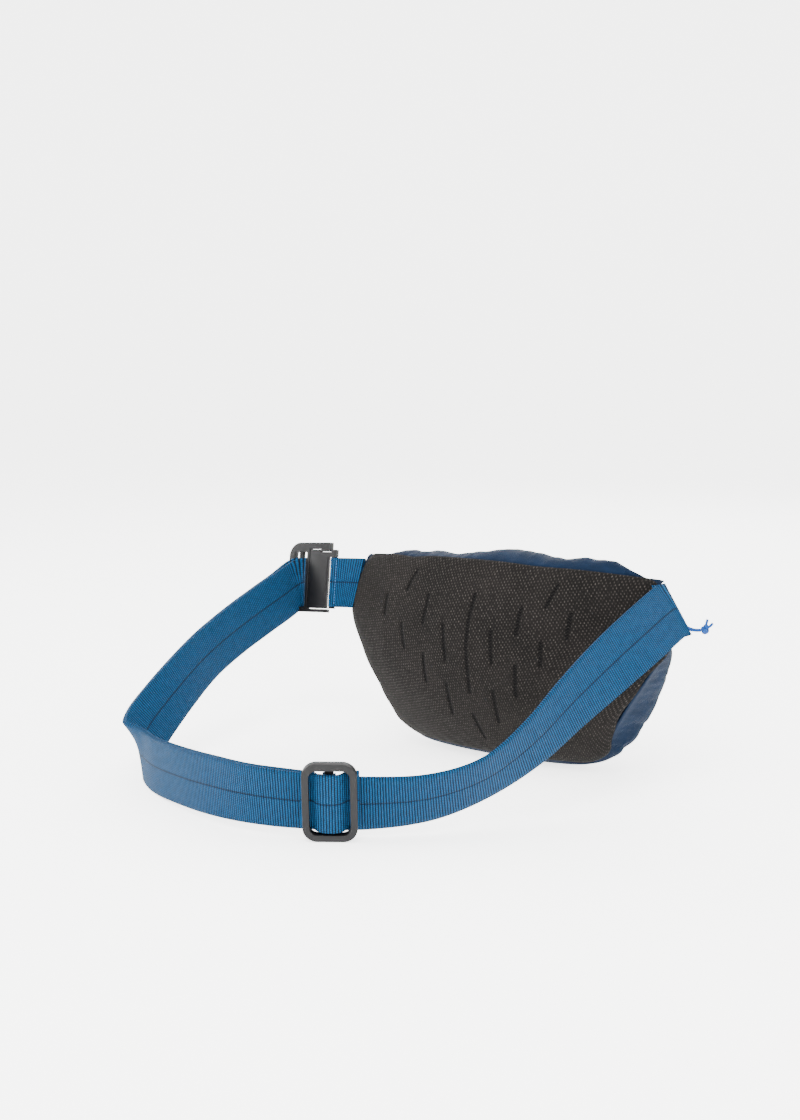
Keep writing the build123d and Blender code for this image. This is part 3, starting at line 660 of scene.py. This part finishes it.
pouchShell = shapeCloth(
    "pouchCloth", pouch["columns"], pouch["rows"], pouchRule, (0.34, 0.2), shellNylon, "pack",
    lambda centre: (centre.x, centre.y + 0.04, centre.z - 0.06))
shares = gridShares(pouch["columns"], pouch["rows"])
sewnPoints = [
    vert.index for vert, (u, v) in zip(pouchShell.data.vertices, shares)
    if min(u, 1 - u) < 0.012 or v < 0.24 or v > 0.965]
settleCloth(pouchShell, sewnPoints, capMm=3.5, growth=0.035, pressure=3.0, floorMm=0.2)
smoothOver(pouchShell, 1)
thicken(pouchShell, pouch["clothMm"] * mm, -1)
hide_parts("pouch_shell")
print("pouch is sewn")

# The top of the pack, above the zip: the flap that folds back, and a gusset at each wing.
topCloth = {"flapHalf": 98.3, "tipHalf": 121.5, "zipZ": 127.0, "riseMm": 8.5}


def topRule(low, high):
    def rule(u, v):
        x = low + (high - low) * u
        arc = math.asin(clamp(x / 229.4, -1, 1))
        frontY = -203 + 229.4 * math.cos(arc)
        z = backPanel["crownZ"] - 1.6 - 8 * (x / 125)**2
        backY = panelFace(x, z, 4.6)
        taper = 1 - smoothStep(84, 121.5, abs(x))
        fuller = 0.45 + 0.75 * smoothStep(-85, 45, x)  # it stands higher over the wearer's right
        rise = (topCloth["riseMm"] * fuller + 1.3 * math.sin(x / 13 + 1)) * taper
        bow = math.sin(math.pi * v)**0.8
        y = backY + (frontY - backY) * (v**1.15)
        height = z + (topCloth["zipZ"] - z) * v**2.8 + rise * bow * (1 - v * 0.3)
        wrinkle = 1.6 * noise.noise(Vector((x / 15, v * 2.2, 3.3))) + 0.7 * noise.noise(Vector((x / 6, v * 4, 9.3)))
        height += wrinkle * bow * taper
        height += 0.35 * math.sin(x * 0.6) * math.exp(-v * 7) * (1 - math.exp(-v * 40))
        return x, y, height
    return rule


flapCloth = shapeCloth(
    "topFlapCloth", 170, 44, topRule(-topCloth["flapHalf"], topCloth["flapHalf"]), (0.2, 0.07), shellNylon, "flap",
    lambda centre: (0, 0.3, 1))
thicken(flapCloth, 1.0 * mm, -1)
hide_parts("top_flap")
for side, name in ((-1, "leftWingGusset"), (1, "rightWingGusset")):
    near, far = side * topCloth["flapHalf"], side * topCloth["tipHalf"]
    gusset = shapeCloth(
        name, 24, 44, topRule(near, far), (0.024, 0.07), shellNylon, "pack", lambda centre: (0, 0.3, 1))
    thicken(gusset, 1.0 * mm, -1)
    if side > 0:
        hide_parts("wing_gussets")


# the shell also covers the front of each wing, between the pouch's seam and the panel's edge
wingFront = {"innerX": 112, "lowZ": 98, "topZ": 138.4, "tipDrop": 4.5, "inFromEdge": 3.2, "depth": 5.95}


def wingRule(side):
    def rule(u, v):
        topZ = wingFront["topZ"] - wingFront["tipDrop"] * smoothStep(0.5, 1, u)
        z = wingFront["lowZ"] + (topZ - wingFront["lowZ"]) * v
        outerX = alongTable(backPanel["halfWidths"], z) - wingFront["inFromEdge"]
        x = side * (wingFront["innerX"] + (outerX - wingFront["innerX"]) * u)
        return x, panelFace(x, z, wingFront["depth"]), z
    return rule


for side, name in ((-1, "leftWingFront"), (1, "rightWingFront")):
    wing = shapeCloth(
        name, 16, 30, wingRule(side), (0.018, 0.04), shellNylon, "pack", lambda centre: (0, 1, 0))
    thicken(wing, 0.3 * mm, -1)
print("top cloth is sewn")

# The zip runs round one flat arc.
zipSet = {
    "centreY": -203.0, "radius": 228.6, "endAngle": 30.1, "flapAngle": 25.0, "pitchMm": 2.0,
    "levels": {"lower": 121.15, "upper": 122.85},
}


def makeCoil(name, level, endAngle, body, node, shift):
    bm = bmesh.new()
    stepAngle = math.degrees(zipSet["pitchMm"] / zipSet["radius"])
    count = int(2 * endAngle / stepAngle)
    for k in range(count):
        angle = math.radians(-endAngle + (k + shift) * stepAngle)
        away = Vector((math.sin(angle), math.cos(angle), 0)) * zipSet["radius"]
        place = Vector((0, zipSet["centreY"], level)) + away
        turn = Matrix.Rotation(-angle, 4, "Z") @ Matrix.Diagonal((0.55, 0.75, 1.25, 1))
        bmesh.ops.create_uvsphere(
            bm, u_segments=6, v_segments=4, radius=mm, matrix=Matrix.Translation(place * mm) @ turn)
    piece = finishMesh(bm, name, zipCoil, body)
    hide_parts(node)
    return piece


makeCoil("lowerCoil", zipSet["levels"]["lower"], zipSet["endAngle"], "pack", "zip_coil_lower", 0.0)
makeCoil("upperCoil", zipSet["levels"]["upper"], zipSet["flapAngle"], "flap", "zip_coil_upper", 0.5)


# A moulded or cast piece: the CAD shape with its corners rounded off.
def roundedPiece(name, node, radiusMm, material, body, segments=3):
    bm = bmesh.new()
    bm.from_mesh(shown[node].data)
    bmesh.ops.remove_doubles(bm, verts=bm.verts, dist=0.00001)
    bmesh.ops.dissolve_limit(bm, angle_limit=math.radians(4), verts=bm.verts, edges=bm.edges)
    sharp = [e for e in bm.edges if len(e.link_faces) == 2 and e.calc_face_angle(0) > math.radians(28)]
    bmesh.ops.bevel(
        bm, geom=sharp, offset=radiusMm * mm, offset_type="OFFSET", affect="EDGES", segments=segments, profile=0.5,
        material=-1, clamp_overlap=True)
    piece = finishMesh(bm, name, material, body)
    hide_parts(node)
    return piece


roundedPiece("sliderBody", "zip_slider", 0.35, paintedZinc, "slider")
roundedPiece("pullTab", "zip_pull_tab", 0.25, paintedZinc, "pull")
print("zip is made")

# The belt: one length of webbing from the right wing, round the buckle's bar and back inside itself.
belt = {
    "width": 38.0, "thickness": 1.7, "layerStep": 2.1,
    "stations": [
        ((135.5, -14.5, 122.5), (-0.50, -0.12, 0.85)), ((131, -48, 110), (-0.49, -0.28, 0.83)),
        ((123, -79, 94), (-0.36, -0.39, 0.85)), ((113, -109, 75), (-0.16, -0.52, 0.84)),
        ((102, -137, 54), (0.03, -0.59, 0.81)), ((86, -164, 36), (0.22, -0.57, 0.79)),
        ((64, -191, 26), (0.23, -0.44, 0.87)), ((35, -215, 23), (0.19, -0.29, 0.94)),
        ((4, -235.5, 24), (0.13, -0.21, 0.97)), ((-31, -247, 25), (0.04, -0.13, 0.99)),
        ((-67, -244, 24), (-0.03, -0.02, 1.0)), ((-104, -233.5, 21.8), (-0.07, -0.01, 1.0)),
        ((-138, -220, 19.8), (-0.08, -0.01, 1.0)), ((-158, -209, 19.8), (-0.16, 0.02, 0.99)),
        ((-169, -202, 21.5), (-0.30, 0.04, 0.95)), ((-176, -194.5, 26), (-0.38, -0.10, 0.92)),
        ((-179.3, -184, 33), (-0.38, -0.33, 0.86)), ((-180.5, -174, 39.5), (-0.34, -0.40, 0.85)),
        ((-183, -148, 55), (-0.22, -0.42, 0.88)), ((-186.5, -116, 71), (-0.11, -0.41, 0.91)),
        ((-186.5, -85, 84.5), (-0.10, -0.38, 0.92)), ((-184, -53, 97.5), (-0.14, -0.32, 0.93)),
        ((-182, -33, 105.5), (-0.14, -0.26, 0.95)), ((-182, -17.5, 111.6), (-0.09, 0.05, 0.97)),
    ],
    "foldIn": [
        ((126, -8.7, 119.5), (-0.45, 0.0, 0.86)), ((132.5, -8.5, 120.5), (-0.48, 0.0, 0.86)),
        ((137, -10.6, 122.2), (-0.5, -0.05, 0.85))],
}
# the outer layer is the one seen along the floor, the inner layer the one seen on the way up
outerShift = [0] * 13 + [-2.1 * part / 4 for part in range(5)] + [-2.1] * 4 + [-2.4, -3.3]
innerShift = [shift + belt["layerStep"] for shift in outerShift[:-2]] + [0.3, 1.5]


def shifted(stations, shifts, first, last):
    rows = []
    for i in range(first, last + 1):
        before, after = Vector(stations[max(i - 1, 0)][0]), Vector(stations[min(i + 1, len(stations) - 1)][0])
        place, width = Vector(stations[i][0]), Vector(stations[i][1]).normalized()
        along = (after - before).normalized()
        width = (width - along * width.dot(along)).normalized()
        rows.append((place + along.cross(width) * shifts[i], width))
    return rows


buckle = {"origin": Vector((-163, -11, 118)), "toPack": Vector((0.9975, 0, 0.07)).normalized(),
          "toWearer": Vector((-0.014, -0.98, 0.2)).normalized(), "barU": -19.0, "barN": -1.0, "strapMiddle": -3.2}
buckle["up"] = buckle["toWearer"].cross(buckle["toPack"]).normalized()


def onBuckle(u, v, n):
    return buckle["origin"] + buckle["toPack"] * u + buckle["up"] * v + buckle["toWearer"] * n


lastStation = len(belt["stations"]) - 1
up = buckle["up"]
loopRadius = 3.35
barU, barN, strapMiddle = buckle["barU"], buckle["barN"], buckle["strapMiddle"]
aroundBar = [
    (onBuckle(barU - loopRadius, strapMiddle, barN + 0.8), up),
    (onBuckle(barU - loopRadius * 0.72, strapMiddle, barN - loopRadius * 0.72), up),
    (onBuckle(barU, strapMiddle, barN - loopRadius), up),
    (onBuckle(barU + loopRadius * 0.72, strapMiddle, barN - loopRadius * 0.72), up),
    (onBuckle(barU + loopRadius, strapMiddle, barN + 0.8), up),
]
outerRun = shifted(belt["stations"], outerShift, 0, lastStation)
innerRun = shifted(belt["stations"], innerShift, 8, lastStation)
webbingRun = [(Vector(p), Vector(w)) for p, w in belt["foldIn"]] + outerRun + aroundBar + innerRun[::-1]
beltPiece, beltLength = layWebbing(
    "beltWebbing", webbingRun, belt["width"], belt["thickness"], webbingBlue, "pack")
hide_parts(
    "belt_right_anchor", "belt_right_run", "belt_floor_run_right", "belt_floor_run_left",
    "belt_return_floor_run", "belt_far_bend", "belt_return_far_bend", "belt_upper_run", "belt_return_upper_run",
    "belt_buckle_loop")
print("belt webbing is laid,", round(beltLength), "mm")

triGlide = {
    "origin": Vector((19.9, -235.1, 26.0)), "along": Vector((0.834, 0.552, 0)).normalized(),
    "lean": math.radians(12.0),
}
glideOut = Vector((triGlide["along"].y, -triGlide["along"].x, 0))
glideUp = glideOut * math.sin(triGlide["lean"]) + Vector((0, 0, math.cos(triGlide["lean"])))
glideBack = glideUp.cross(triGlide["along"])
roundedPiece("triGlideRing", "tri_glide", 1.6, acetal, "glide", 4)


def onGlide(along, back):
    return triGlide["origin"] + triGlide["along"] * along + glideBack * back


bridgeProfile = [
    (-17.6, 3.3), (-13, 3.2), (-10, 2.2), (-7.2, -0.9), (-4, -2.7), (0, -3.2), (4, -2.7), (7.2, -0.9), (10, 2.2),
    (13, 3.2), (17.6, 3.3)]
bridge, bridgeLength = layWebbing(
    "bridgeWebbing", [(onGlide(a, b), glideUp) for a, b in bridgeProfile], belt["width"], 1.5, webbingBlue, "glide",
    stepMm=0.8, wave=0.25)
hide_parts("belt_bridge")
loopProfile = [(2.6, 2.6), (-2.6, 2.6), (-3.5, 1.2), (-2.6, -0.9), (2.6, -0.9), (3.5, 1.2)]
endLoop, endLoopLength = layWebbing(
    "endLoopWebbing", [(onGlide(a, b), glideUp) for a, b in loopProfile], 37.4, 1.0, webbingBlue, "glide",
    stepMm=0.8, wave=0)
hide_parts("belt_end_loop")

roundedPiece("buckleReceiverFrame", "buckle_receiver", 0.8, acetal, "pack")
roundedPiece("buckleInsertPlate", "buckle_insert", 0.6, acetal, "insert")
shortStrap = {
    "width": 37.6,
    "profile": [
        (36, -3.2), (30, -1.6), (20, -1.8), (15.5, -2.9), (13.2, -2.9), (12.3, -1.2), (12.3, 1.2), (13.2, 2.9),
        (15.5, 2.9), (20, 1.8), (30, 0.2), (36, -1.6)],
}
strapStations = [(onBuckle(u, strapMiddle, n), up) for u, n in shortStrap["profile"]]
strapRead, strapLength = smoothRun(strapStations)


def strapRule(share, across):
    place, direction = strapRead(share)
    toSeam = abs(share - 0.5) * 2
    slant = (across - 0.5) * 8.0 * smoothStep(0.2, 1, toSeam)
    return place + direction * (across - 0.5) * shortStrap["width"] + buckle["toPack"] * (slant + 1.2 * toSeam)


strap = shapeCloth(
    "shortStrap", 70, 14, strapRule, (strapLength * mm, shortStrap["width"] * mm), webbingBlue, None)
thicken(strap, 1.5 * mm, 0)
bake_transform(strap)
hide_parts("short_strap")
print("tri-glide, buckle and short strap are made")


def sewLine(name, points, stitchMm, radiusMm, material, body):
    bm = bmesh.new()
    for a, b in zip(points, points[1:]):
        a, b = Vector(a), Vector(b)
        run = b - a
        count = max(1, int(run.length / stitchMm))
        turn = run.to_track_quat("Z", "Y").to_matrix().to_4x4()
        for k in range(count):
            centre = a + run * ((k + 0.5) / count)
            stretch = Matrix.Diagonal((radiusMm, radiusMm, run.length / count * 0.42, 1))
            bmesh.ops.create_uvsphere(
                bm, u_segments=6, v_segments=4, radius=mm, matrix=Matrix.Translation(centre * mm) @ turn @ stretch)
    return finishMesh(bm, name, material, body)


for side in (-1, 1):
    along = [(onBuckle(18.2, strapMiddle + 17 * k / 8, side * 3.2)) for k in range(-8, 9)]
    sewLine("strapStitches" + ("Back" if side < 0 else "Front"), along, 2.1, 0.28, thread, "insert")

pullCord = {
    "thickness": 1.8,
    "front": [
        (117.5, 3.5, 122), (117.8, 6.9, 122), (123.5, 7.4, 118.2), (129, 7.1, 112.6), (135, 6.9, 108.2), (141, 7, 106),
        (147.2, 7, 106.8)],
    "back": [
        (117.5, 3.5, 122), (117.2, 0.1, 122), (122.6, 2.2, 117.4), (128.6, 4.2, 111.9), (134.9, 4.6, 107.9),
        (141, 4.7, 105.9), (147.2, 4.9, 106.8)],
    "knot": (149.6, 6.0, 107.6),
    "tails": [
        [(150.2, 5.6, 109.2), (150.8, 5.2, 112.2), (151.4, 5.6, 114.6)],
        [(151.4, 6.2, 108.8), (153.2, 6.7, 110.2), (154.6, 6.4, 112.0)]],
}


def cordCurve(name, points, thickness, body, order=3):
    data = bpy.data.curves.new(name, "CURVE")
    data.dimensions = "3D"
    data.bevel_depth = thickness / 2 * mm
    data.bevel_resolution = 4
    data.resolution_u = 12
    data.use_fill_caps = True
    spline = data.splines.new("NURBS")
    spline.points.add(len(points) - 1)
    for point, place in zip(spline.points, points):
        point.co = tuple(Vector(place) * mm) + (1.0,)
    spline.order_u = order
    spline.use_endpoint_u = True
    piece = bpy.data.objects.new(name, data)
    scene.collection.objects.link(piece)
    data.materials.append(braidedCord)
    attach(piece, body)
    return piece


frontStrand = cordCurve("pullCordFront", pullCord["front"], pullCord["thickness"], "pull")
backStrand = cordCurve("pullCordBack", pullCord["back"], pullCord["thickness"], "pull")
# an overhand knot: a trefoil of the same cord, drawn tight
knotPoints = []
for k in range(25):
    a = 2 * math.pi * k / 24
    knotPoints.append((pullCord["knot"][0] + 1.3 * math.sin(3 * a),
                       pullCord["knot"][1] + 0.85 * (math.cos(a) - 2 * math.cos(2 * a)),
                       pullCord["knot"][2] + 0.95 * (math.sin(a) + 2 * math.sin(2 * a))))
knot = cordCurve("pullCordKnot", knotPoints, 2.1, "pull", 4)
tails = [cordCurve(f"pullCordTail{k}", points, 1.7, "pull") for k, points in enumerate(pullCord["tails"])]
strands = ((frontStrand, "zip_pull_cord_front", 0.0374), (backStrand, "zip_pull_cord_back", 0.0381))
for strand, node, length in strands:
    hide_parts(node)
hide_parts("zip_pull_knot")
print("pull cord is tied")

# CAD pieces that show as they are
finishes = {
    "back_panel_lining": taffeta, "zip_tape_lower": zipTape, "zip_tape_upper": zipTape, "zip_tape_ends": zipTape,
    "zip_end_stops": zipCoil, "buckle_web_bar": acetal,
}
for node, material in finishes.items():
    data = shown[node].data
    if not data.materials:
        data.materials.append(material)
    for k in range(len(data.materials)):
        shown[node].material_slots[k].material = material

# a round paper sweep: flat near the pack, rising to a wall far away
sweepSize = {"half": 7.0, "flat": 3.2, "rise": 0.28}
floorBm = bmesh.new()
bmesh.ops.create_grid(floorBm, x_segments=60, y_segments=60, size=sweepSize["half"])
for vert in floorBm.verts:
    vert.co.z = sweepSize["rise"] * max(0.0, vert.co.xy.length - sweepSize["flat"])**2
floor = finishMesh(floorBm, "studioFloor", makeStudioPaper(), None)

print("all pieces are in place")
